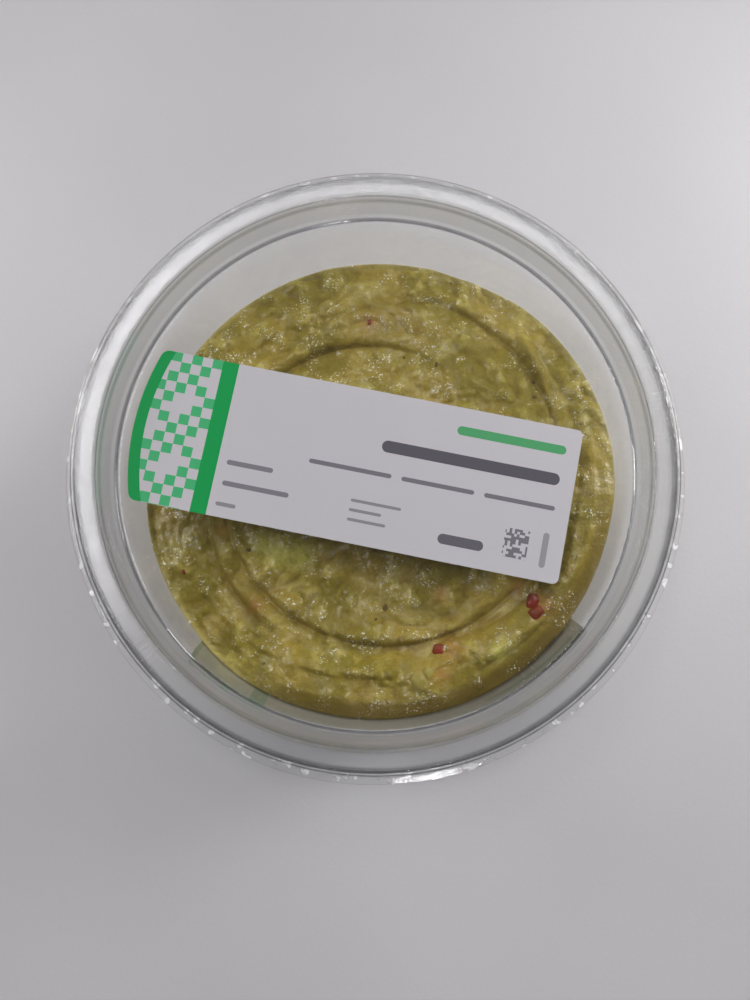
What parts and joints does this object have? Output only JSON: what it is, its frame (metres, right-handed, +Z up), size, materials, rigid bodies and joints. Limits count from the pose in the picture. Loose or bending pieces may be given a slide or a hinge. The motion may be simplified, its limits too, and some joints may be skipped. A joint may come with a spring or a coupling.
{
  "type": "guacamole in a lidded deli tub",
  "caption": "Guacamole with a spiral stroke in its top, in a round clear plastic tub shut with a clear press-fit lid, with paper labels on the lid and the wall.",
  "frame": {"origin": "on the table under the middle of the tub's base", "axes": "+Z up along the tub's axis, -Y towards the front with the wall's label, +X to the right"},
  "size_m": [0.1208, 0.1208, 0.0437],
  "materials": {
    "clear_tub": "glossy",
    "clear_lid": "glossy",
    "guacamole": "satin",
    "label_paper": "satin"
  },
  "bodies": {
    "root": {"tub": "clear_tub", "guacamole": "guacamole", "lid": "clear_lid", "lid_label": "label_paper", "wall_label": "label_paper"}
  },
  "joints": []
}
